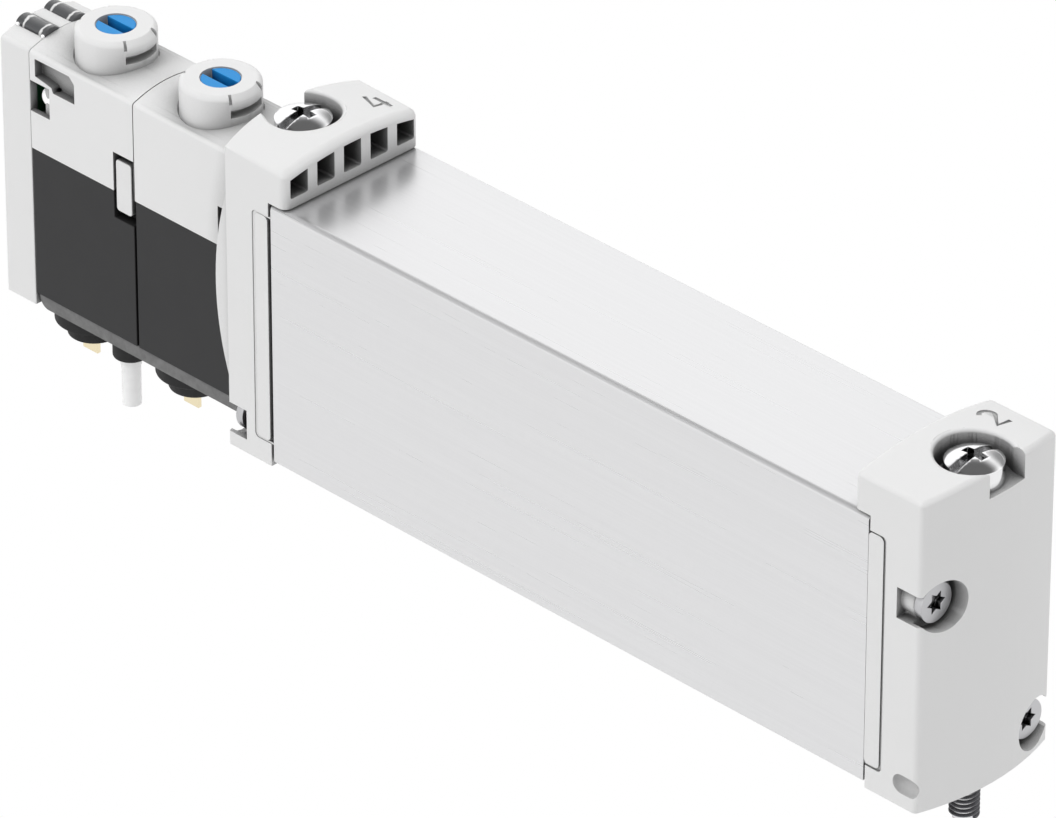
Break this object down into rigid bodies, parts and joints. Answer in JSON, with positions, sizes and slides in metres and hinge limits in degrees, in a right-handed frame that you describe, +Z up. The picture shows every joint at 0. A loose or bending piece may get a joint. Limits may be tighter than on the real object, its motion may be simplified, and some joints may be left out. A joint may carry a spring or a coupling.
{
  "type": "pneumatic solenoid valve",
  "caption": "Slim pneumatic valve for a sub-base: brushed metal body between white end caps, two pilot solenoids with blue overrides on one end",
  "frame": {"origin": "Middle between the two hold-down screws, on the plane of the end caps' mounting faces", "axes": "+X runs along the spool toward the cap with port digit 2, +Z up away from the sub-base, Y across the valve's width"},
  "size_m": [0.1288, 0.018, 0.0441],
  "materials": {
    "white_plastic": "light grey-white moulded polyamide",
    "jacket_metal": "sheet brushed along its length",
    "black_rubber": "moulded nitrile rubber",
    "plated_steel": "nickel-plated steel screws",
    "spool_aluminium": "ground aluminium spool",
    "coil_plastic": "dark grey moulded coil casing",
    "copper_wire": "wound enamelled copper wire on a bobbin",
    "magnet_steel": "turned soft magnetic steel",
    "spring_steel": "drawn spring wire",
    "blue_plastic": "blue moulded knob",
    "clear_plastic": "clear polycarbonate light guide",
    "gold_contact": "gold-plated contact blade",
    "board": "green circuit board",
    "grey_strip": "grey speckled strip"
  },
  "bodies": {
    "valve": {"spool_housing": "white_plastic", "body_jacket": "jacket_metal", "base_gasket": "black_rubber", "cap_2": "white_plastic", "cap_4": "white_plastic", "cap_gasket_2": "black_rubber", "cap_gasket_4": "black_rubber", "end_screws_2": "plated_steel", "end_screws_4": "plated_steel", "spacer_1": "white_plastic", "spacer_2": "white_plastic", "spacer_3": "white_plastic", "spacer_4": "white_plastic", "spacer_5": "white_plastic", "spool_seal_1": "black_rubber", "spool_seal_2": "black_rubber", "spool_seal_3": "black_rubber", "spool_seal_4": "black_rubber", "spool_seal_5": "black_rubber", "spool_seal_6": "black_rubber", "pilot_housing_a": "white_plastic", "coil_casing_a": "coil_plastic", "coil_winding_a": "copper_wire", "coil_core_a": "magnet_steel", "armature_spring_a": "spring_steel", "override_collar_a": "white_plastic", "override_spring_a": "spring_steel", "pilot_housing_b": "white_plastic", "coil_casing_b": "coil_plastic", "coil_winding_b": "copper_wire", "coil_core_b": "magnet_steel", "armature_spring_b": "spring_steel", "override_collar_b": "white_plastic", "override_spring_b": "spring_steel", "pilot_end_cover": "white_plastic", "light_window_a": "clear_plastic", "light_window_b": "clear_plastic", "circuit_board": "board", "pilot_base": "grey_strip", "contact_seal_a": "black_rubber", "contact_seal_b": "black_rubber", "pin_seal": "black_rubber", "contact_a": "gold_contact", "contact_b": "gold_contact", "light_pin": "clear_plastic", "latch_clips": "white_plastic"},
    "spool_set": {"spool": "spool_aluminium", "piston_2": "white_plastic", "piston_4": "white_plastic", "piston_seal_2": "black_rubber", "piston_seal_4": "black_rubber"},
    "hold_screw_2": {"captive_screw_2": "plated_steel"},
    "hold_screw_4": {"captive_screw_4": "plated_steel"},
    "button_a": {"override_stem_a": "white_plastic"},
    "knob_a": {"override_knob_a": "blue_plastic"},
    "plunger_a": {"armature_a": "magnet_steel"},
    "button_b": {"override_stem_b": "white_plastic"},
    "knob_b": {"override_knob_b": "blue_plastic"},
    "plunger_b": {"armature_b": "magnet_steel"}
  },
  "joints": [
    {"name": "spool_shift", "type": "slide", "parent": "valve", "child": "spool_set", "axis": [1, 0, 0], "range_m": [0, 0.003]},
    {"name": "hold_turn_2", "type": "hinge", "parent": "valve", "child": "hold_screw_2", "pos_m": [0.04375, 0, 0.0316], "axis": [0, 0, 1], "continuous": true},
    {"name": "hold_turn_4", "type": "hinge", "parent": "valve", "child": "hold_screw_4", "pos_m": [-0.04375, 0, 0.0316], "axis": [0, 0, 1], "continuous": true},
    {"name": "override_press_a", "type": "slide", "parent": "valve", "child": "button_a", "axis": [0, 0, -1], "range_m": [0, 0.0008], "stiffness_N_per_m": 1500, "springref_m": -0.001, "deforming": ["override_spring_a"]},
    {"name": "override_turn_a", "type": "hinge", "parent": "button_a", "child": "knob_a", "pos_m": [-0.07011, 0, 0.0305], "axis": [0, 0, -1], "range_deg": [0, 90]},
    {"name": "armature_pull_a", "type": "slide", "parent": "valve", "child": "plunger_a", "axis": [0, 0, -1], "range_m": [0, 0.0005], "stiffness_N_per_m": 1000, "springref_m": -0.001, "deforming": ["armature_spring_a"]},
    {"name": "override_press_b", "type": "slide", "parent": "valve", "child": "button_b", "axis": [0, 0, -1], "range_m": [0, 0.0008], "stiffness_N_per_m": 1500, "springref_m": -0.001, "deforming": ["override_spring_b"]},
    {"name": "override_turn_b", "type": "hinge", "parent": "button_b", "child": "knob_b", "pos_m": [-0.05528, 0, 0.0305], "axis": [0, 0, -1], "range_deg": [0, 90]},
    {"name": "armature_pull_b", "type": "slide", "parent": "valve", "child": "plunger_b", "axis": [0, 0, -1], "range_m": [0, 0.0005], "stiffness_N_per_m": 1000, "springref_m": -0.001, "deforming": ["armature_spring_b"]}
  ]
}
